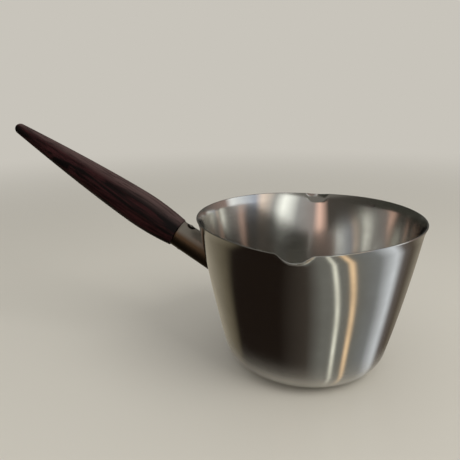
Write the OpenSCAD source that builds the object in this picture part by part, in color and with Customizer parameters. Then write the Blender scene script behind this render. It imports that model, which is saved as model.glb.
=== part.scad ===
// Milk pan: a drawn steel bowl with a pressed pouring lip on each side, and a turned
// wooden grip that is pinned into a steel socket welded to the wall.
// The origin is the centre of the base, on the table. The handle points along -X and the
// lips along +Y and -Y. All sizes are in millimetres.

/* [Bowl] */
// Outside diameter of the rim, measured away from the lips
rim_d = 140; // [120:1:160]
// Height of the rim above the table
bowl_h = 97; // [85:1:110]
// Diameter at which the wall, carried on down, would meet the table
base_d = 98; // [88:1:104]
// How far the wall bellies out halfway up, beyond a straight cone
wall_belly = 1.25; // [0:0.25:3]
// Radius of the rounded corner between base and wall
corner_r = 19; // [10:0.5:22]
// Thickness of the sheet steel
sheet_t = 1; // [0.8:0.1:1.6]
// How far the rim turns outward
rim_flare = 1; // [0:0.1:2]
// Height of the band that turns outward
flare_h = 6; // [4:0.5:10]

/* [Pouring lips] */
// How far the beak of a lip stands out from the rim
beak_out = 7; // [3:0.5:9]
// Half of the angle that a beak takes up on the rim
beak_angle = 7.5; // [6:0.5:12]
// Height of wall that the beak is pressed into
beak_h = 7; // [4:0.5:14]
// How far the rim drops at the tip of the beak
beak_drop = 2; // [0:0.2:3]
// How far the rim on both sides is drawn out towards the beak
draw_out = 3.8; // [0:0.2:5]
// Angle over which that drawing out dies away
draw_angle = 19; // [12:1:24]
// Height of wall that is drawn out
draw_h = 45; // [30:1:60]
// How far the drawn-out rim drops
draw_drop = 1.6; // [0:0.2:3]

/* [Handle socket] */
// Angle at which the handle rises from level
handle_rise = 31; // [20:1:38]
// Height at which the handle's centre line meets the outside of the wall
socket_z = 65.6; // [58:0.2:70]
// Length of the socket, from the wall to the wood along the centre line
socket_len = 27.5; // [24:0.5:40]
// Outside diameter of the socket at its foot
socket_foot_d = 19; // [17:0.1:20]
// Outside diameter of the socket where the wood starts
socket_end_d = 18; // [17:0.1:19]
// Inside diameter of the socket
socket_bore_d = 15.2; // [12:0.2:15.6]
// Radius of the weld bead around the foot
bead_r = 1.4; // [0.8:0.1:2]

/* [Grip] */
// Length of the visible wood
grip_len = 135.5; // [110:0.5:160]
// Diameter of the wood at its shoulder against the socket
shoulder_d = 19.4; // [18.6:0.2:21]
// Largest diameter of the wood
belly_d = 23.6; // [21:0.2:26]
// Distance of the largest diameter from the shoulder
belly_at = 28; // [15:1:40]
// Diameter of the wood where its rounded tip starts
tip_d = 6.6; // [5:0.2:9]
// Length of the rounded tip
tip_len = 3.2; // [2:0.2:5]
// Length of the tenon inside the socket
tenon_len = 18; // [12:0.5:18]

/* [Pin] */
// Diameter of the cross pin through socket and tenon
pin_d = 3; // [2:0.5:4]
// Distance of the pin from the end of the socket
pin_inset = 6; // [4:0.5:8]
// Diameter of the pin's domed heads
head_d = 4.6; // [4.2:0.2:5.4]
// Height of a head above its seat
head_h = 1.4; // [0.8:0.1:1.8]

/* [Hidden] */
$fn = 96;

steel_color = "#9a9992";
weld_color = "#7b7a74";
pin_color = "#6f6d68";
wood_color = "#46202a";

// Clearance on the radius of the tenon and of the pin
fit_gap = 0.03;
// Radius of the broken edge of the rim
edge_r = 0.35;
// Radius of the broken edge of the wood's shoulder
shoulder_r = 0.7;
// Overshoot of a cutting solid past the face that it cuts
past = 1;

// ---- Bowl ----

// Steps round the corner, steps up the wall, and how they crowd towards the rim
corner_steps = 6;
wall_steps = 13;
wall_crowding = 2;
// Columns of the shell: fine across a lip, coarse elsewhere
lip_zone = 18;
lip_step = 1.2;
plain_step = 6;
// Share of a beak's width that is left at the bottom of the beak, and how steeply the
// beak dies away there and to its sides
beak_root_share = 0.6;
beak_fade = 1.5;

neck_r = rim_d / 2 - rim_flare;
base_r = base_d / 2;

function flare(z) = rim_flare * pow(max(0, (z - bowl_h + flare_h) / flare_h), 2);
function wall_r(z) =
    base_r + (neck_r - base_r) * z / bowl_h
    + 4 * wall_belly * (z / bowl_h) * (1 - z / bowl_h) + flare(z);
function wall_slope(z) =
    (neck_r - base_r) / bowl_h + 4 * wall_belly / bowl_h * (1 - 2 * z / bowl_h);

// Lean of the wall where the corner ends, and the centre of the corner's arc
lean = atan(wall_slope(0.75 * corner_r));
corner_top = corner_r * (1 - sin(lean));
corner_x = wall_r(corner_top) - corner_r * cos(lean);

// Profile points [radius, height] of a corner arc and of the wall, at an inward offset
function corner_arc(inset) = [
    for (k = [0:corner_steps])
        let (a = -90 + (90 - lean) * k / corner_steps)
        [corner_x + (corner_r - inset) * cos(a), corner_r + (corner_r - inset) * sin(a)]
];
function wall_line(inset) = [
    for (k = [1:wall_steps])
        let (climb = 1 - pow(1 - k / wall_steps, wall_crowding),
             z = corner_top + (bowl_h - edge_r - corner_top) * climb)
        [wall_r(z) - inset * cos(lean), z + inset * sin(lean) * (1 - climb)]
];
function backwards(list) = [for (k = [len(list) - 1:-1:0]) list[k]];

outer_line = concat(corner_arc(0), wall_line(0));
inner_line = concat(corner_arc(sheet_t), wall_line(sheet_t));
rim_outer = [wall_r(bowl_h) - edge_r, bowl_h];
rim_inner = [wall_r(bowl_h) - sheet_t * cos(lean) + edge_r, bowl_h];
shell_line = concat(outer_line, [rim_outer, rim_inner], backwards(inner_line));

// A lip is 1 on its middle line and 0 away from it. off is the angle from that line.
function lip_off(a) = abs(a % 180 - 90);
function bump(share) = share < 1 ? pow(1 - share * share, beak_fade) : 0;
function beak(off, z) =
    let (climb = max(0, 1 - (bowl_h - z) / beak_h),
         half = beak_angle * (beak_root_share + (1 - beak_root_share) * climb))
    pow(climb, beak_fade) * bump(off / half);
function draw(off, z) =
    pow(max(0, 1 - (bowl_h - z) / draw_h), 2) * exp(-pow(off / draw_angle, 2) / 2);

// A profile point turned to the angle a and pressed out by the lips
function pressed(p, a) =
    let (b = beak(lip_off(a), p[1]),
         d = draw(lip_off(a), p[1]),
         r = p[0] + beak_out * b + draw_out * d)
    [r * cos(a), r * sin(a), p[1] - beak_drop * b - draw_drop * d];

columns = [
    for (side = [90, 270])
        each concat(
            [for (a = [-lip_zone:lip_step:lip_zone - lip_step]) side + a],
            [for (a = [lip_zone:plain_step:180 - lip_zone - plain_step]) side + a])
];

// Points in rings from the base outside, over the rim, to the base inside
module shell_of(line) {
    n = len(columns);
    rings = len(line);
    points = [for (p = line) for (a = columns) pressed(p, a)];
    bands = [
        for (i = [0:rings - 2]) for (j = [0:n - 1])
            let (k = (j + 1) % n, low = i * n, high = low + n)
            each [[low + j, high + j, high + k], [low + j, high + k, low + k]]
    ];
    base_out = [for (j = [0:n - 1]) j];
    base_in = [for (j = [n - 1:-1:0]) (rings - 1) * n + j];
    polyhedron(points, concat([base_out, base_in], bands), convexity = 10);
}

// The bowl without its lips, as a solid block, to cut the foot of the handle
module bowl_block()
    rotate_extrude()
        polygon(concat([[0, 0]], outer_line, [[wall_r(bowl_h), bowl_h], [0, bowl_h]]));

module pan_body()
    color(steel_color)
        shell_of(shell_line);

// ---- Handle ----

// Puts children on the handle's centre line: +Z along it, +X to its upper side
module on_handle()
    translate([-wall_r(socket_z), 0, socket_z])
        rotate([0, handle_rise - 90, 0])
            children();

// Length of socket stock below the wall, which the bowl cuts off
foot_stock = 16;
socket_taper = (socket_foot_d - socket_end_d) / 2 / socket_len;
function socket_r(s) = socket_foot_d / 2 - socket_taper * s;

// The socket's outside as a solid block
module socket_block()
    translate([0, 0, -foot_stock])
        cylinder(h = socket_len + foot_stock, r1 = socket_r(-foot_stock),
                 r2 = socket_r(socket_len));

// Distance of the pin along the centre line, and of its heads' seats from that line
pin_s = socket_len - pin_inset;
seat_r = sqrt(pow(socket_r(pin_s), 2) - pow(head_d / 2, 2)) - 0.05;

// A hole across the handle for the pin
module pin_hole()
    translate([0, 0, pin_s])
        rotate([0, 90, 0])
            cylinder(h = socket_foot_d + 2 * past, d = pin_d + 2 * fit_gap, center = true);

module handle_socket()
    color(steel_color)
        difference() {
            on_handle()
                difference() {
                    socket_block();
                    translate([0, 0, -foot_stock - past])
                        cylinder(h = socket_len + foot_stock + 2 * past, d = socket_bore_d);
                    pin_hole();
                    for (side = [0, 180])
                        translate([0, 0, pin_s])
                            rotate([0, 90 + side, 0])
                                translate([0, 0, seat_r])
                                    cylinder(h = past + head_h, d = head_d + 2 * fit_gap);
                }
            bowl_block();
        }

// Point on the socket's outside at the angle turn round it and s along it
axis_way = [-cos(handle_rise), 0, sin(handle_rise)];
upper_way = [sin(handle_rise), 0, cos(handle_rise)];
side_way = [0, 1, 0];
function round_way(turn) = cos(turn) * upper_way + sin(turn) * side_way;
function on_socket(turn, s) =
    [-wall_r(socket_z), 0, socket_z] + s * axis_way + socket_r(s) * round_way(turn);

// Where that line on the socket meets the wall: each pass closes nearly all of the gap
closing = cos(handle_rise) - wall_slope(socket_z) * sin(handle_rise);
function wall_gap(p) = norm([p[0], p[1]]) - wall_r(p[2]);
function foot_s(turn, s = 0, passes = 8) =
    passes == 0 ? s
    : foot_s(turn, s - wall_gap(on_socket(turn, s)) / closing, passes - 1);

// The bead is a ring of round stock along the foot, cut flush by the wall and the socket
bead_turns = 48;
bead_sides = 12;
module bead_ring() {
    points = [
        for (i = [0:bead_turns - 1])
            let (turn = 360 * i / bead_turns,
                 middle = on_socket(turn, foot_s(turn)))
            for (j = [0:bead_sides - 1])
                let (a = 360 * (j + 0.5) / bead_sides)
                middle + bead_r * (cos(a) * round_way(turn) + sin(a) * axis_way)
    ];
    faces = [
        for (i = [0:bead_turns - 1]) for (j = [0:bead_sides - 1])
            let (m = bead_sides,
                 here = i * m, next = ((i + 1) % bead_turns) * m, k = (j + 1) % m)
            each [[here + j, next + k, next + j], [here + j, here + k, next + k]]
    ];
    polyhedron(points, faces, convexity = 10);
}

module weld_bead()
    color(weld_color)
        difference() {
            bead_ring();
            bowl_block($fn = 360);
            on_handle() socket_block($fn = 360);
        }

// The pin's outline: half of the shank and one domed head, from the handle's middle out
dome_r = (pow(head_d / 2, 2) + pow(head_h, 2)) / (2 * head_h);
dome_steps = 8;
dome_line = [
    for (k = [0:dome_steps])
        let (a = asin(head_d / 2 / dome_r) * (1 - k / dome_steps))
        [dome_r * sin(a), seat_r + head_h - dome_r + dome_r * cos(a)]
];

module pin_half()
    rotate_extrude()
        polygon(concat([[0, 0], [pin_d / 2, 0], [pin_d / 2, seat_r]], dome_line));

module socket_pin()
    color(pin_color)
        on_handle()
            translate([0, 0, pin_s])
                for (side = [0, 180])
                    rotate([0, 90 + side, 0])
                        pin_half();

// Radius of the wood at the distance s from its shoulder: it swells to the belly, then
// tapers to the tip, and the tip is a quarter of an ellipse
taper_power = 1.4;
function grip_body_r(s) =
    s < belly_at
        ? belly_d / 2 - (belly_d - shoulder_d) / 2 * pow(1 - s / belly_at, 2)
        : belly_d / 2 - (belly_d - tip_d) / 2
          * pow((s - belly_at) / (grip_len - belly_at), taper_power);
function grip_r(s) =
    grip_body_r(s) * sqrt(1 - pow(max(0, (s - grip_len + tip_len) / tip_len), 2));

grip_steps = 44;
tip_steps = 6;
edge_steps = 3;
tenon_r = socket_bore_d / 2 - fit_gap;
body_line = [
    for (k = [1:grip_steps])
        let (s = shoulder_r + (grip_len - tip_len - shoulder_r) * k / grip_steps)
        [grip_r(s), s]
];
edge_line = [
    for (k = [0:edge_steps])
        let (a = 90 * k / edge_steps)
        [grip_r(shoulder_r) - shoulder_r * (1 - sin(a)), shoulder_r * (1 - cos(a))]
];
tip_line = [
    for (k = [1:tip_steps])
        let (s = grip_len - tip_len + tip_len * sin(90 * k / tip_steps))
        [k == tip_steps ? 0 : grip_r(s), s]
];
grip_outline = concat(
    [[0, -tenon_len], [tenon_r - edge_r, -tenon_len], [tenon_r, edge_r - tenon_len],
     [tenon_r, 0]],
    edge_line, body_line, tip_line);

module handle_grip()
    color(wood_color)
        on_handle()
            difference() {
                translate([0, 0, socket_len])
                    rotate_extrude()
                        polygon(grip_outline);
                pin_hole();
            }

pan_body();
handle_socket();
weld_bead();
socket_pin();
handle_grip();
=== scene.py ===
# %% [markdown]
# # A milk pan with a turned wooden handle
#
# The real pan is drawn from one sheet of stainless steel. A short steel tube is welded to its
# wall, and a dark hardwood grip is pinned into that tube. The construction is already packed
# as a model with true sizes, so this notebook gives it its looks: finer meshes laid exactly
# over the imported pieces, and a finish for each. Everything is in metres, with +Z up, the
# origin at the centre of the base, the handle along -X and a pouring lip along +Y and -Y.

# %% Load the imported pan
from math import asin, atan, atan2, cos, degrees, exp, pi, radians, sin, sqrt

import bmesh
import bpy
from mathutils import Matrix, Vector


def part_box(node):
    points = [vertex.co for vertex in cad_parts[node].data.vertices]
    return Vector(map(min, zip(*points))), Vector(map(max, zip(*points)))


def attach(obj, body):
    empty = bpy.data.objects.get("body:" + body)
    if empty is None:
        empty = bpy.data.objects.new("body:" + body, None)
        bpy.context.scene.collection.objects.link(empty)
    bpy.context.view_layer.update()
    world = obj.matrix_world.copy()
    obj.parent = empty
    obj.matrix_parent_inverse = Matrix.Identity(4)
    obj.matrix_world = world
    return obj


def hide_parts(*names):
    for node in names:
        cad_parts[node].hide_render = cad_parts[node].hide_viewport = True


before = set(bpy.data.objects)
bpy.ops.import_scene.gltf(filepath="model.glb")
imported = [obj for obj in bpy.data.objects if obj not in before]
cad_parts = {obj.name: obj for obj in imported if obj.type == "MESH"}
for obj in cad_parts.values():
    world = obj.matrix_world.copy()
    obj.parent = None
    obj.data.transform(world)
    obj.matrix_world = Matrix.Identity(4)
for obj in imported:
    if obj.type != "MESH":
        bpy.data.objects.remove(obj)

scene = bpy.context.scene
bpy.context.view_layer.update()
print("packed pieces:", ", ".join(sorted(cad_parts)))

# %% [markdown]
# ## The camera
#
# The camera's place was found by fitting a turned profile to the outline of the bowl, so it
# is kept as a place, three angles and a lens. It stands in front of one lip, a little above
# the rim, and looks down by 16.5 degrees. The bowl is close to it, which is why the near side
# of the rim looks so much wider than the far side.

# %% Place the camera
CAMERA_AT = Vector((0.0236, -0.2870, 0.1717))
CAMERA_TURN = radians(14.5)
CAMERA_DIP = radians(16.5)
CAMERA_ROLL = radians(-0.59)
SENSOR_MM = 36.0
LENS_MM = 36.78

camera_data = bpy.data.cameras.new("camera")
camera_data.sensor_fit = "HORIZONTAL"
camera_data.sensor_width = SENSOR_MM
camera_data.lens = LENS_MM
camera = bpy.data.objects.new("camera", camera_data)
scene.collection.objects.link(camera)
camera.matrix_world = (
    Matrix.Translation(CAMERA_AT)
    @ Matrix.Rotation(CAMERA_TURN, 4, "Z")
    @ Matrix.Rotation(pi / 2 - CAMERA_DIP, 4, "X")
    @ Matrix.Rotation(CAMERA_ROLL, 4, "Z")
)
scene.camera = camera
scene.view_settings.view_transform = "Standard"
print("camera stands", round(CAMERA_AT.length, 3), "m from the middle of the base")

# %% [markdown]
# ## A helper for shader nodes
#
# Every finish below is a small tree of nodes. Adding a node takes three steps: make it, set
# its choices, and fill its inputs with numbers or with links from other nodes. One helper
# does all three, so that a finish reads like a recipe.

# %% Add one shader node
def add(tree, kind, inputs=None, **choices):
    """Makes a shader node, sets its choices, and fills its inputs with values or links."""
    made = tree.nodes.new("ShaderNode" + kind)
    for choice, value in choices.items():
        setattr(made, choice, value)
    for name, value in (inputs or {}).items():
        if isinstance(value, bpy.types.NodeSocket):
            tree.links.new(value, made.inputs[name])
        else:
            made.inputs[name].default_value = value
    return made


def sum_of(tree, operation, first, second=0.0):
    """One step of arithmetic, as a socket."""
    return add(tree, "Math", {0: first, 1: second}, operation=operation).outputs[0]


def eased(tree, value, low, high):
    """A share that rises softly from 0 at low to 1 at high."""
    inputs = {"Value": value, "From Min": low, "From Max": high}
    return add(tree, "MapRange", inputs, interpolation_type="SMOOTHSTEP").outputs[0]


def blended(tree, share, first, second):
    """A colour between two others."""
    mix = add(tree, "Mix", {0: share}, data_type="RGBA")
    for socket, value in ((mix.inputs[6], first), (mix.inputs[7], second)):
        if isinstance(value, bpy.types.NodeSocket):
            tree.links.new(value, socket)
        else:
            socket.default_value = (*value, 1)
    return mix.outputs[2]


def ramp_of(tree, share, stops):
    """A colour ramp from a list of (place, colour) stops."""
    ramp = add(tree, "ValToRGB", {"Fac": share})
    elements = ramp.color_ramp.elements
    while len(elements) < len(stops):
        elements.new(0.5)
    for element, (place, colour) in zip(elements, stops):
        element.position = place
        element.color = (*colour, 1)
    return ramp.outputs["Color"]


# %% [markdown]
# ## The studio that the steel shows
#
# Polished steel has hardly a look of its own: it shows what stands round it. This bowl was
# brushed round and round, so it smears every light up and down the wall, and each light
# becomes an upright streak. So the studio has pale walls, a few upright soft lights and some
# dark cards between them, as for any photo of metal. Where a streak stands depends on one
# thing only: it stands where the wall faces halfway between the light and the camera. Each
# light is given by that place, in degrees round the bowl from +X towards +Y. The outside
# leans outwards and shows the low lights, and the inside shows the high ones. Only reflected
# rays meet them. The camera sees a plain pale backdrop, and matt surfaces a plain light.

# %% The low lights, by their place on the outside of the bowl
PALE = (0.40, 0.36, 0.28)
DARK = (0.015, 0.010, 0.007)
GREY = (0.20, 0.20, 0.18)
LOW_LIGHTS = [
    (-150, PALE),
    (-129, (0.14, 0.12, 0.08)),
    (-124, DARK),
    (-98, DARK),
    (-84, (0.06, 0.05, 0.04)),
    (-76, GREY),
    (-71, GREY),
    (-69.5, (1.4, 1.4, 1.2)),
    (-68, GREY),
    (-64, GREY),
    (-62, (1.4, 1.0, 0.6)),
    (-60, GREY),
    (-50, (0.25, 0.26, 0.26)),
    (-41, (0.85, 0.90, 0.95)),
    (-36, (0.15, 0.13, 0.12)),
    (-30, (0.10, 0.08, 0.06)),
    (-15, PALE),
]

# %% The high lights, by their place on the inside of the bowl
HIGH_LIGHTS = [
    (40, (0.05, 0.05, 0.04)),
    (80, (0.08, 0.07, 0.06)),
    (87, (1.2, 0.8, 0.65)),
    (92, (0.40, 0.35, 0.33)),
    (104, (0.45, 0.45, 0.44)),
    (115, (1.6, 1.65, 1.55)),
    (121, (0.50, 0.50, 0.48)),
    (128, (1.2, 1.0, 0.85)),
    (132, (0.50, 0.55, 0.65)),
    (149, (1.3, 1.35, 1.35)),
    (155, (0.35, 0.26, 0.23)),
    (190, (0.10, 0.10, 0.09)),
]
CEILING = (0.20, 0.19, 0.17)


def lit_by(tree, place, lights):
    """The colour of a row of lights; past its two ends the end colours go on."""
    first, last = lights[0][0], lights[-1][0]
    inputs = {"Value": place, "From Min": first, "From Max": last}
    share = add(tree, "MapRange", inputs).outputs[0]
    stops = [((degree - first) / (last - first), colour) for degree, colour in lights]
    return ramp_of(tree, share, stops)


print("lights and cards:", len(LOW_LIGHTS), "low and", len(HIGH_LIGHTS), "high")

# %% Build the world from the lights
BACKDROP = (0.578, 0.552, 0.497)
PLAIN_LIGHT = (0.72, 0.72, 0.73)
to_camera = CAMERA_AT.xy.normalized()
INSIDE_REACH = 0.84
OUTSIDE_REACH = 1.30
REACH_BY_SIDE = 0.17
REACH_BY_HEIGHT = 0.35
HORIZON_FROM, HORIZON_TO = -0.20, -0.05
CEILING_FROM, CEILING_TO = 0.60, 0.75

world = bpy.data.worlds.new("room")
scene.world = world
world.use_nodes = True
tree = world.node_tree
whole_way = add(tree, "TexCoord").outputs["Generated"]
way = add(tree, "SeparateXYZ", {"Vector": whole_way}).outputs
height = way["Z"]


def facing(reach):
    """Degrees round the bowl of the wall that shows a direction of the room to the camera."""
    half_x = sum_of(tree, "ADD", way["X"], sum_of(tree, "MULTIPLY", reach, to_camera.x))
    half_y = sum_of(tree, "ADD", way["Y"], sum_of(tree, "MULTIPLY", reach, to_camera.y))
    return sum_of(tree, "DEGREES", sum_of(tree, "ARCTAN2", half_y, half_x))


frontal = add(
    tree, "VectorMath", {0: whole_way, 1: (*to_camera, 0)}, operation="DOT_PRODUCT").outputs[1]
reach = sum_of(tree, "MULTIPLY", frontal, REACH_BY_SIDE)
reach = sum_of(tree, "ADD", reach, sum_of(tree, "MULTIPLY", height, REACH_BY_HEIGHT))
reach = sum_of(tree, "ADD", reach, OUTSIDE_REACH)
inside = sum_of(tree, "ADD", facing(INSIDE_REACH), 180.0)
low = lit_by(tree, facing(reach), LOW_LIGHTS)
high = lit_by(tree, inside, HIGH_LIGHTS)
room = blended(tree, eased(tree, height, HORIZON_FROM, HORIZON_TO), low, high)
room = blended(tree, eased(tree, height, CEILING_FROM, CEILING_TO), room, CEILING)

path = add(tree, "LightPath")
seen = blended(tree, path.outputs["Is Glossy Ray"], PLAIN_LIGHT, room)
seen = blended(tree, path.outputs["Is Camera Ray"], seen, BACKDROP)
tree.links.new(seen, tree.nodes["Background"].inputs["Color"])
print("world:", len(tree.nodes), "nodes")

# %% [markdown]
# ## Floor and lamp
#
# The floor is a plain pale disc that fades into the backdrop, so no edge shows from any
# side. Close to the pan the steel mirrors this floor with its shadow. Further out the floor
# lets reflected rays through to the low lights. One wide lamp on the right gives the soft
# light a direction.

# %% Lay the floor
FLOOR_RADIUS = 2.5
FLOOR_GAP = 0.0001
FLOOR_COLOUR = (0.640, 0.605, 0.520)
FADE_FROM, FADE_TO = 0.3, 1.2
OPEN_FROM, OPEN_TO = 0.042, 0.072

floor_material = bpy.data.materials.new("floor")
floor_material.use_nodes = True
tree = floor_material.node_tree
surface = tree.nodes["Principled BSDF"]
surface.inputs["Base Color"].default_value = (*FLOOR_COLOUR, 1)
surface.inputs["Roughness"].default_value = 0.28
surface.inputs["Specular IOR Level"].default_value = 0.3
place = add(tree, "SeparateXYZ", {"Vector": add(tree, "TexCoord").outputs["Object"]})
across = sum_of(tree, "POWER", place.outputs["X"], 2.0)
along = sum_of(tree, "POWER", place.outputs["Y"], 2.0)
reach = sum_of(tree, "SQRT", sum_of(tree, "ADD", across, along))
glow = add(tree, "Emission", {"Color": (*BACKDROP, 1)})
faded = add(tree, "MixShader", {
    "Fac": eased(tree, reach, FADE_FROM, FADE_TO), 1: surface.outputs[0], 2: glow.outputs[0]})
near = add(tree, "MixShader", {
    "Fac": eased(tree, reach, OPEN_FROM, OPEN_TO), 1: faded.outputs[0],
    2: add(tree, "BsdfTransparent").outputs[0]})
mirrored = add(tree, "LightPath").outputs["Is Glossy Ray"]
opened = add(tree, "MixShader", {"Fac": mirrored, 1: faded.outputs[0], 2: near.outputs[0]})
tree.links.new(opened.outputs[0], tree.nodes["Material Output"].inputs["Surface"])

bm = bmesh.new()
bmesh.ops.create_circle(bm, cap_ends=True, radius=FLOOR_RADIUS, segments=96)
floor_mesh = bpy.data.meshes.new("floor")
bm.to_mesh(floor_mesh)
bm.free()
floor_mesh.materials.append(floor_material)
floor = bpy.data.objects.new("floor", floor_mesh)
floor.location.z = -FLOOR_GAP
scene.collection.objects.link(floor)
print("floor radius:", FLOOR_RADIUS)

# %% Hang the lamp
LAMP_AT = Vector((0.95, -0.45, 1.15))
LAMP_SIDE = 0.9
LAMP_WATTS = 9.0

lamp_data = bpy.data.lights.new("window_lamp", "AREA")
lamp_data.size = LAMP_SIDE
lamp_data.energy = LAMP_WATTS
lamp = bpy.data.objects.new("window_lamp", lamp_data)
scene.collection.objects.link(lamp)
lamp.location = LAMP_AT
lamp.rotation_euler = LAMP_AT.to_track_quat("Z", "Y").to_euler()
lamp.visible_glossy = False
print("lamp", round(LAMP_AT.length, 2), "m away")

# %% [markdown]
# ## The bowl's outline
#
# A drawn bowl is a turned shape, so one line of points, spun round the Z axis, makes it. The
# line runs from the middle of the base outwards, round the lower corner, up the wall, over
# the rim and back down the inside. The wall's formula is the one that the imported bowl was
# built from: nearly a cone, bellied by about a millimetre, with the rim turned outwards.

# %% Driving sizes of the bowl
RIM_R = 0.070
BOWL_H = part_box("pan_body")[1].z
BASE_R = 0.049
WALL_BELLY = 0.00125
CORNER_R = 0.019
SHEET = 0.001
FLARE_OUT = 0.001
FLARE_H = 0.006
EDGE_R = 0.00035
NECK_R = RIM_R - FLARE_OUT
print("rim diameter", 2 * RIM_R, "m and height", round(BOWL_H, 4), "m")


# %% The wall's radius and slope at a height
def wall_r(z):
    flare = FLARE_OUT * max(0.0, (z - BOWL_H + FLARE_H) / FLARE_H) ** 2
    share = z / BOWL_H
    return BASE_R + (NECK_R - BASE_R) * share + 4 * WALL_BELLY * share * (1 - share) + flare


def wall_slope(z):
    return (NECK_R - BASE_R) / BOWL_H + 4 * WALL_BELLY / BOWL_H * (1 - 2 * z / BOWL_H)


LEAN = atan(wall_slope(0.75 * CORNER_R))
CORNER_TOP = CORNER_R * (1 - sin(LEAN))
CORNER_X = wall_r(CORNER_TOP) - CORNER_R * cos(LEAN)
print("the wall leans", round(degrees(LEAN), 1), "degrees above the corner")

# %% The line to spin
BASE_STEPS = 4
CORNER_STEPS = 14
WALL_STEPS = 56
WALL_CROWDING = 2.0
EDGE_STEPS = 4


def half_line(inset):
    """Base, corner and wall of one face of the sheet, from the middle to under the rim."""
    base = [(CORNER_X * k / BASE_STEPS, inset) for k in range(BASE_STEPS)]
    corner = []
    for k in range(CORNER_STEPS + 1):
        a = -pi / 2 + (pi / 2 - LEAN) * k / CORNER_STEPS
        r = CORNER_R - inset
        corner.append((CORNER_X + r * cos(a), CORNER_R + r * sin(a)))
    wall = []
    for k in range(1, WALL_STEPS + 1):
        climb = 1 - (1 - k / WALL_STEPS) ** WALL_CROWDING
        z = CORNER_TOP + (BOWL_H - EDGE_R - CORNER_TOP) * climb
        wall.append((wall_r(z) - inset * cos(LEAN), z + inset * sin(LEAN) * (1 - climb)))
    return base + corner + wall


def rounded_edge(r, side):
    """The rounded edge of the rim above a wall of radius r; side is 1 outside, -1 inside."""
    points = []
    for k in range(1, EDGE_STEPS + 1):
        a = pi / 2 * k / EDGE_STEPS
        points.append((r - side * EDGE_R * (1 - cos(a)), BOWL_H - EDGE_R * (1 - sin(a))))
    return points


outside = half_line(0.0)
inside = half_line(SHEET)
over_rim = rounded_edge(outside[-1][0], 1) + rounded_edge(inside[-1][0], -1)[::-1]
bowl_line = outside + over_rim + inside[::-1]
print("the line has", len(bowl_line), "points")


# %% [markdown]
# ## Spinning
#
# The spin operator copies a line round an axis and joins the copies with faces. A full turn
# comes back to its start, so use_merge closes the seam. Where the line touches the axis all
# copies of that point land in one place, so doubles are merged too, and then the normals are
# made to point outwards.

# %% Spin a line into a closed skin
def spun(points, steps, ring=False):
    """Spins (radius, height) points a full turn round the Z axis; ring joins last to first."""
    bm = bmesh.new()
    verts = [bm.verts.new((r, 0, z)) for r, z in points]
    pairs = list(zip(verts, verts[1:])) + ([(verts[-1], verts[0])] if ring else [])
    edges = [bm.edges.new(pair) for pair in pairs]
    bmesh.ops.spin(bm, geom=verts + edges, cent=(0, 0, 0), axis=(0, 0, 1), dvec=(0, 0, 0),
                   angle=2 * pi, steps=steps, use_merge=True, use_duplicate=False)
    bmesh.ops.remove_doubles(bm, verts=bm.verts, dist=1e-6)
    bmesh.ops.recalc_face_normals(bm, faces=bm.faces)
    return bm


def keep(bm, name, node, material):
    """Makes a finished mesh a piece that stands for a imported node."""
    bmesh.ops.triangulate(bm, faces=[f for f in bm.faces if len(f.verts) > 4])
    volume = bm.calc_volume(signed=True)
    mesh = bpy.data.meshes.new(name)
    bm.to_mesh(mesh)
    bm.free()
    mesh.shade_smooth()
    mesh.materials.append(material)
    piece = bpy.data.objects.new(name, mesh)
    scene.collection.objects.link(piece)
    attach(piece, "root")
    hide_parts(node)
    print(f"{name}: {len(mesh.polygons)} faces, {volume * 1e9:.0f} mm3")
    return piece


# %% [markdown]
# ## The pouring lips
#
# On the real bowl the lips are pressed into the finished wall. Two presses do it here as
# well: a wide, soft one draws the rim out towards the lip, and a narrow one forms the beak.
# Each is a smooth bump over the angle that fades with the depth below the rim. The spun
# vertices are moved outwards and a little down by both.

# %% Press both lips into the spun bowl
BEAK_OUT, BEAK_DROP, BEAK_H = 0.007, 0.002, 0.007
BEAK_ANGLE = 7.5
BEAK_ROOT_SHARE = 0.6
BEAK_FADE = 1.5
DRAW_OUT, DRAW_DROP, DRAW_H = 0.0038, 0.0016, 0.045
DRAW_ANGLE = 19.0
BOWL_COLUMNS = 360


def beak(off, z):
    """How far the beak is pressed, 0 to 1, at an angle off its middle and a height."""
    climb = max(0.0, 1 - (BOWL_H - z) / BEAK_H)
    half = BEAK_ANGLE * (BEAK_ROOT_SHARE + (1 - BEAK_ROOT_SHARE) * climb)
    return climb ** BEAK_FADE * max(0.0, 1 - (off / half) ** 2) ** BEAK_FADE


def draw(off, z):
    """How far the rim is drawn out towards the beak, 0 to 1."""
    climb = max(0.0, 1 - (BOWL_H - z) / DRAW_H)
    return climb ** 2 * exp(-((off / DRAW_ANGLE) ** 2) / 2)


def press_lips(bm):
    for v in bm.verts:
        r, z = v.co.xy.length, v.co.z
        off = abs(degrees(atan2(v.co.y, v.co.x)) % 180 - 90)
        b, d = beak(off, z), draw(off, z)
        if r > 0 and b + d > 0:
            v.co.xy *= 1 + (BEAK_OUT * b + DRAW_OUT * d) / r
            v.co.z -= BEAK_DROP * b + DRAW_DROP * d


bowl = spun(bowl_line, BOWL_COLUMNS)
press_lips(bowl)
print("lip to lip:", round(2 * max(v.co.y for v in bowl.verts), 4), "m")


# %% [markdown]
# ## Brushed steel
#
# The pan was brushed while it turned, so its fine lines run round it. Such lines spread a
# reflection across themselves, which is what turns the room into soft upright streaks. The
# shader does the same with Anisotropic and a tangent round the Z axis, turned by a quarter.
# The lines come from noise that is stretched: it changes slowly round the bowl and very fast
# along its outline. Radius plus height measures the way along the outline both on the flat
# base and up the wall. Wider, weaker noise adds the unevenness of a bowl that has been used.

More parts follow.
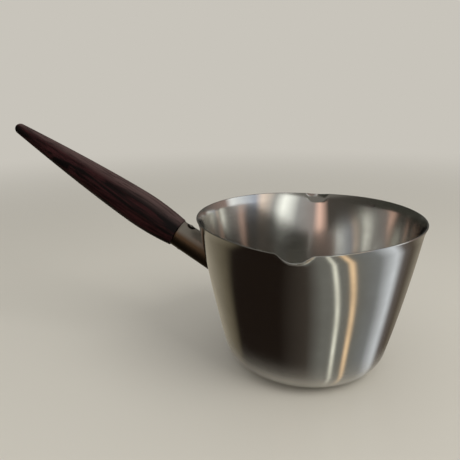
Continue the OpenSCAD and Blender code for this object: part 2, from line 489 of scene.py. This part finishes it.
# %% A finish for steel that was brushed while it turned
SOCKET_LEN = 0.0275
PIN_S = SOCKET_LEN - 0.006
# Colour and ring radii, in metres from the pin's axis, of a painted shadow round the pin's
# heads.
PIN_SHADOW = (0.020, 0.014, 0.010)
PIN_SHADOW_FROM, PIN_SHADOW_FULL, PIN_SHADOW_LAST, PIN_SHADOW_END = 0.0011, 0.0018, 0.0025, 0.0034
LINES_ROUND = 25.0
LINES_ALONG = 3200.0


def turned_steel(name, light, dark, roughness, lean_on=None, wear=1.0, brushed=0.8, under=None):
    """Steel with lines round the Z axis, or round the Z axis of the frame lean_on.

    With the colour under, a leaning piece gets a painted shade on its underside and a painted
    shadow in a ring round the pin.
    """
    material = bpy.data.materials.new(name)
    material.use_nodes = True
    tree = material.node_tree
    surface = tree.nodes["Principled BSDF"]
    where = add(tree, "TexCoord").outputs["Object"]
    if lean_on is not None:
        inputs = {"Vector": where, "Location": lean_on.to_translation(),
                  "Rotation": lean_on.to_euler()}
        where = add(tree, "Mapping", inputs, vector_type="TEXTURE").outputs[0]
    place = add(tree, "SeparateXYZ", {"Vector": where})
    x, y, z = (place.outputs[axis] for axis in "XYZ")
    radius = sum_of(tree, "SQRT", sum_of(
        tree, "ADD", sum_of(tree, "POWER", x, 2.0), sum_of(tree, "POWER", y, 2.0)))
    outline = sum_of(tree, "ADD", radius, z)
    lined = add(tree, "CombineXYZ", {
        "X": sum_of(tree, "MULTIPLY", x, LINES_ROUND),
        "Y": sum_of(tree, "MULTIPLY", y, LINES_ROUND),
        "Z": sum_of(tree, "MULTIPLY", outline, LINES_ALONG)}).outputs[0]
    lines = add(tree, "TexNoise", {
        "Vector": lined, "Scale": 1.0, "Detail": 3.0, "Roughness": 0.7}).outputs["Fac"]
    cloud = add(tree, "TexNoise", {
        "Vector": where, "Scale": 38.0, "Detail": 4.0, "Roughness": 0.55}).outputs["Fac"]
    stain = eased(tree, cloud, 0.35, 0.75)
    shade = sum_of(tree, "MULTIPLY", stain, 0.5 * wear)
    shade = sum_of(tree, "ADD", shade, sum_of(tree, "MULTIPLY", lines, 0.25))
    colour = blended(tree, shade, light, dark)
    if under is not None:
        # Painted shade: the underside turns to the colour under, more fully the further down it
        # faces.
        upward = sum_of(tree, "DIVIDE", x, radius)
        colour = blended(tree, eased(tree, upward, 0.95, 0.25), colour, under)
        # Painted shadow: a dark ring round the pin's axis, where its heads meet the socket and
        # along the heads' own edges.
        from_pin = sum_of(tree, "POWER", sum_of(tree, "SUBTRACT", z, PIN_S), 2.0)
        from_pin = sum_of(tree, "ADD", from_pin, sum_of(tree, "POWER", y, 2.0))
        from_pin = sum_of(tree, "SQRT", from_pin)
        pin_shadow = sum_of(
            tree, "MULTIPLY", eased(tree, from_pin, PIN_SHADOW_END, PIN_SHADOW_LAST),
            eased(tree, from_pin, PIN_SHADOW_FROM, PIN_SHADOW_FULL))
        colour = blended(tree, pin_shadow, colour, PIN_SHADOW)
    tree.links.new(colour, surface.inputs["Base Color"])
    rough = sum_of(tree, "MULTIPLY_ADD", lines, 0.10)
    rough.node.inputs[2].default_value = roughness - 0.05
    rough = sum_of(tree, "ADD", rough, sum_of(tree, "MULTIPLY", stain, 0.05 * wear))
    tree.links.new(rough, surface.inputs["Roughness"])
    ripple = add(tree, "TexNoise", {
        "Vector": where, "Scale": 22.0, "Detail": 1.0}).outputs["Fac"]
    waves = add(tree, "Bump", {"Height": ripple, "Strength": 1.0, "Distance": 0.00006})
    scratched = add(tree, "Bump", {
        "Height": lines, "Strength": 0.25, "Distance": 0.00001, "Normal": waves.outputs[0]})
    tree.links.new(scratched.outputs[0], surface.inputs["Normal"])
    surface.inputs["Metallic"].default_value = 1.0
    surface.inputs["Anisotropic"].default_value = brushed
    surface.inputs["Anisotropic Rotation"].default_value = 0.25
    tangent = add(tree, "Tangent", direction_type="RADIAL", axis="Z")
    tree.links.new(tangent.outputs[0], surface.inputs["Tangent"])
    return material


pan_steel = turned_steel("pan_steel", (0.66, 0.65, 0.62), (0.52, 0.50, 0.47), 0.13)
keep(bowl, "bowl", "pan_body", pan_steel)

# %% [markdown]
# ## The handle's own frame
#
# Socket, bead, pin and grip all sit on one line that rises from the wall. They are easiest
# to make upright, round the Z axis, with Z as the distance from the wall. One matrix then
# lays the finished mesh on that line. Local +X becomes the upper side of the handle.

# %% The line of the handle
HANDLE_RISE = 31.0
SOCKET_Z = 0.0656
SOCKET_FOOT_R = 0.0095
SOCKET_END_R = 0.0090
SOCKET_BORE_R = 0.0076

on_handle = (
    Matrix.Translation((-wall_r(SOCKET_Z), 0, SOCKET_Z))
    @ Matrix.Rotation(radians(HANDLE_RISE - 90), 4, "Y")
)


def socket_r(s):
    """Outside radius of the socket at the distance s from the wall."""
    return SOCKET_FOOT_R - (SOCKET_FOOT_R - SOCKET_END_R) * s / SOCKET_LEN


print("the socket ends at", [round(c, 4) for c in on_handle @ Vector((0, 0, SOCKET_LEN))])

# %% [markdown]
# ## The socket
#
# The real socket is a tube whose foot is cut to the wall it is welded to. Here a ring of
# points is spun into an upright tube. The foot's points then slide along the tube until they
# lie on the bowl. The gap to the wall is measured and taken away a few times over, because
# each pass closes nearly all of it.

# %% Slide a point along the handle until it meets the wall
FOOT_PASSES = 8
FOOT_CLOSING = cos(radians(HANDLE_RISE)) - wall_slope(SOCKET_Z) * sin(radians(HANDLE_RISE))


def foot_s(across):
    """The distance along the handle at which the line over this local X, Y meets the wall."""
    s = 0.0
    for _ in range(FOOT_PASSES):
        p = on_handle @ Vector((across.x, across.y, s))
        s -= (p.xy.length - wall_r(p.z)) / FOOT_CLOSING
    return s


# %% Spin the tube and cut its foot
TUBE_RINGS = 16
TUBE_COLUMNS = 128
TUBE_EDGE = 0.0004

tube_line = [(socket_r(SOCKET_LEN * k / TUBE_RINGS), SOCKET_LEN * k / TUBE_RINGS)
             for k in range(TUBE_RINGS)]
tube_line += [(SOCKET_END_R - TUBE_EDGE * (1 - cos(a)), SOCKET_LEN - TUBE_EDGE * (1 - sin(a)))
              for a in (0, pi / 8, pi / 4, 3 * pi / 8, pi / 2)]
tube_line += [(SOCKET_BORE_R, SOCKET_LEN), (SOCKET_BORE_R, 0)]
tube = spun(tube_line, TUBE_COLUMNS, ring=True)
for v in tube.verts:
    upward = 1 - v.co.z / SOCKET_LEN
    if upward > 0:
        v.co.z += foot_s(v.co) * upward
bmesh.ops.transform(tube, matrix=on_handle, verts=tube.verts)
# Its under colour is painted shade that darkens the socket's underside to a dark brown.
socket_steel = turned_steel(
    "socket_steel", (0.66, 0.63, 0.57), (0.42, 0.38, 0.32), 0.38, lean_on=on_handle, wear=1.6,
    brushed=0.4, under=(0.115, 0.088, 0.055))
keep(tube, "socket_tube", "handle_socket", socket_steel)

# %% [markdown]
# ## The weld
#
# A weld fills the corner between tube and wall. Its section is an arc from the tube to the
# wall, and that corner is narrow above the handle and wide below it. So a short arc is spun
# first, with each of its points carrying its share of the way from tube to wall. Then every
# point is laid out again for the corner at its own turn. Small even ripples are left by the
# welder's hand.

# %% Spin an arc and lay it into the corner
BEAD_R = 0.0014
BEAD_STEPS = 10
BEAD_COLUMNS = 240
BEAD_SINK = 0.0003
RIPPLES = 40
RIPPLE_DEPTH = 0.05


def corner_angle(turn):
    """The open angle between the tube and the wall at this turn round the handle."""
    out = Vector((cos(turn), sin(turn), 0))
    step = 0.0005
    here, there = (foot_s(out * (SOCKET_FOOT_R + extra)) for extra in (0.0, step))
    return pi / 2 - atan2(there - here, step)


print("corner above", round(degrees(corner_angle(0))), "and below",
      round(degrees(corner_angle(pi))), "degrees")

bead_line = [(SOCKET_FOOT_R + BEAD_R * k / BEAD_STEPS, 0) for k in range(BEAD_STEPS + 1)]
bead = spun(bead_line, BEAD_COLUMNS)
for v in bead.verts:
    share = (v.co.xy.length - SOCKET_FOOT_R) / BEAD_R
    turn = atan2(v.co.y, v.co.x)
    out = Vector((cos(turn), sin(turn), 0))
    s = foot_s(out * SOCKET_FOOT_R)
    a = pi / 2 - corner_angle(turn) * share
    r = BEAD_R * (1 + RIPPLE_DEPTH * cos(RIPPLES * turn) * sin(pi * share))
    v.co = out * (socket_r(s) + r * cos(a)) + Vector((0, 0, s + r * sin(a)))
bmesh.ops.recalc_face_normals(bead, faces=bead.faces)
bmesh.ops.solidify(bead, geom=bead.faces, thickness=BEAD_SINK)
bmesh.ops.transform(bead, matrix=on_handle, verts=bead.verts)
weld_steel = turned_steel(
    "weld_steel", (0.46, 0.43, 0.38), (0.22, 0.17, 0.12), 0.42, lean_on=on_handle, wear=1.8)
keep(bead, "weld_fillet", "weld_bead", weld_steel)

# %% [markdown]
# ## The cross pin
#
# A straight pin holds the wood in the socket. Only its two low domed heads show, one above
# and one below. Half of the pin is spun upright, mirrored to the other side, and turned so
# that it lies across the handle.

# %% Spin half a pin and mirror it
PIN_R = 0.0015
HEAD_R = 0.0023
HEAD_H = 0.0014
SEAT_R = sqrt(socket_r(PIN_S) ** 2 - HEAD_R ** 2) - 0.00005
DOME_R = (HEAD_R ** 2 + HEAD_H ** 2) / (2 * HEAD_H)
DOME_STEPS = 12
PIN_COLUMNS = 64

pin_line = [(PIN_R, 0), (PIN_R, SEAT_R)]
for k in range(DOME_STEPS + 1):
    a = asin(HEAD_R / DOME_R) * (1 - k / DOME_STEPS)
    pin_line.append((DOME_R * sin(a), SEAT_R + HEAD_H - DOME_R + DOME_R * cos(a)))
pin = spun(pin_line, PIN_COLUMNS)
bmesh.ops.mirror(pin, geom=pin.verts[:] + pin.edges[:] + pin.faces[:], axis="Z", merge_dist=1e-6)
bmesh.ops.recalc_face_normals(pin, faces=pin.faces)
across_handle = Matrix.Translation((0, 0, PIN_S)) @ Matrix.Rotation(pi / 2, 4, "Y")
bmesh.ops.transform(pin, matrix=on_handle @ across_handle, verts=pin.verts)
# Its under colour is painted shade on the pin's lower head.
pin_steel = turned_steel(
    "pin_steel", (0.70, 0.68, 0.64), (0.40, 0.36, 0.31), 0.40, lean_on=on_handle, wear=1.2,
    brushed=0.0, under=(0.060, 0.045, 0.032))
keep(pin, "cross_pin", "socket_pin", pin_steel)

# %% [markdown]
# ## The grip
#
# The grip is turned wood: a small rounded shoulder against the steel, a belly just behind
# it, and a long taper to a rounded tip. A tenon, hidden in the socket, carries it. The
# outline is again a line of points from a formula, spun upright and laid on the handle.

# %% The grip's outline
GRIP_LEN = 0.1355
SHOULDER_R = 0.0097
BELLY_R = 0.0118
BELLY_AT = 0.028
TIP_R = 0.0033
TIP_LEN = 0.0032
TAPER_POWER = 1.4
SHOULDER_EDGE = 0.0007
TENON_LEN = 0.018
FIT_GAP = 0.00003


def grip_r(s):
    """Radius of the wood at the distance s from its shoulder."""
    if s < BELLY_AT:
        r = BELLY_R - (BELLY_R - SHOULDER_R) * (1 - s / BELLY_AT) ** 2
    else:
        r = BELLY_R - (BELLY_R - TIP_R) * ((s - BELLY_AT) / (GRIP_LEN - BELLY_AT)) ** TAPER_POWER
    return r * sqrt(1 - min(1.0, max(0.0, (s - GRIP_LEN + TIP_LEN) / TIP_LEN)) ** 2)


# %% Spin the grip
GRIP_RINGS = 140
TIP_RINGS = 10
SHOULDER_RINGS = 6
GRIP_COLUMNS = 128

tenon_r = SOCKET_BORE_R - FIT_GAP
grip_line = [(0, -TENON_LEN), (tenon_r, -TENON_LEN), (tenon_r, 0)]
for k in range(SHOULDER_RINGS + 1):
    a = pi / 2 * k / SHOULDER_RINGS
    grip_line.append((grip_r(SHOULDER_EDGE) - SHOULDER_EDGE * (1 - sin(a)),
                      SHOULDER_EDGE * (1 - cos(a))))
body_len = GRIP_LEN - TIP_LEN - SHOULDER_EDGE
for k in range(1, GRIP_RINGS + 1):
    s = SHOULDER_EDGE + body_len * k / GRIP_RINGS
    grip_line.append((grip_r(s), s))
for k in range(1, TIP_RINGS + 1):
    s = GRIP_LEN - TIP_LEN + TIP_LEN * sin(pi / 2 * k / TIP_RINGS)
    grip_line.append((grip_r(s), s))
grip = spun([(r, s + SOCKET_LEN) for r, s in grip_line], GRIP_COLUMNS)
bmesh.ops.transform(grip, matrix=on_handle, verts=grip.verts)
print("grip is", round(2 * BELLY_R * 1000, 1), "mm thick and", GRIP_LEN * 1000, "mm long")


# %% [markdown]
# ## Dark oiled hardwood
#
# The wood is a dark reddish brown with near-black veins along its length, with a satin sheen
# from rubbing. Veins are noise that is stretched along the handle, so the pattern is read in the
# handle's own frame and squeezed along Z. Three sizes of it are laid over each other: wide
# dark veins, fine figure, and short open pores, which are also pressed in as bumps. A painted
# sheen lightens the upper side to a pale grey-brown, patchy with the figure.

# %% A finish for the wood
def dark_wood(name):
    material = bpy.data.materials.new(name)
    material.use_nodes = True
    tree = material.node_tree
    surface = tree.nodes["Principled BSDF"]
    where = add(tree, "TexCoord").outputs["Object"]
    local = add(tree, "Mapping", {
        "Vector": where, "Location": on_handle.to_translation(),
        "Rotation": on_handle.to_euler()}, vector_type="TEXTURE").outputs[0]

    def grain(across, along, detail, distortion=0.0):
        """Noise with so many changes a metre across the grain and along it."""
        squeezed = add(tree, "Mapping", {
            "Vector": local, "Scale": (across, across, along)}).outputs[0]
        return add(tree, "TexNoise", {
            "Vector": squeezed, "Scale": 1.0, "Detail": detail, "Roughness": 0.6,
            "Distortion": distortion}).outputs["Fac"]

    veins = grain(150, 14, 3.0, 0.6)
    figure = grain(700, 30, 4.0)
    pores = grain(2600, 160, 2.0)
    figured = eased(tree, figure, 0.35, 0.65)
    red = blended(tree, figured, (0.010, 0.0030, 0.0030), (0.032, 0.0075, 0.0080))
    veined = blended(tree, eased(tree, veins, 0.50, 0.60), red, (0.0040, 0.0022, 0.0022))
    pored = blended(tree, eased(tree, pores, 0.60, 0.72), veined, (0.0025, 0.0018, 0.0018))
    side = add(tree, "SeparateXYZ", {"Vector": local})
    radius = sum_of(tree, "ADD", sum_of(tree, "POWER", side.outputs["X"], 2.0),
                    sum_of(tree, "POWER", side.outputs["Y"], 2.0))
    upward = sum_of(tree, "DIVIDE", side.outputs["X"], sum_of(tree, "SQRT", radius))
    # Painted sheen: the upper side is lightened towards a pale grey-brown, patchy with the
    # figure.
    top_sheen = eased(tree, upward, 0.60, 1.05)
    top_sheen = sum_of(tree, "MULTIPLY", top_sheen, eased(tree, figure, 0.15, 0.60))
    sheened_wood = blended(tree, top_sheen, pored, (0.090, 0.056, 0.050))
    tree.links.new(sheened_wood, surface.inputs["Base Color"])
    surface.inputs["Specular IOR Level"].default_value = 0.12
    rough = sum_of(tree, "MULTIPLY_ADD", figure, 0.16)
    rough.node.inputs[2].default_value = 0.38
    tree.links.new(rough, surface.inputs["Roughness"])
    hollow = sum_of(tree, "SUBTRACT", 1.0, eased(tree, pores, 0.58, 0.75))
    soft = add(tree, "Bump", {"Height": figure, "Strength": 0.3, "Distance": 0.00004})
    pitted = add(tree, "Bump", {
        "Height": hollow, "Strength": 0.5, "Distance": 0.00005, "Normal": soft.outputs[0]})
    tree.links.new(pitted.outputs[0], surface.inputs["Normal"])
    return material


keep(grip, "turned_grip", "handle_grip", dark_wood("dark_wood"))
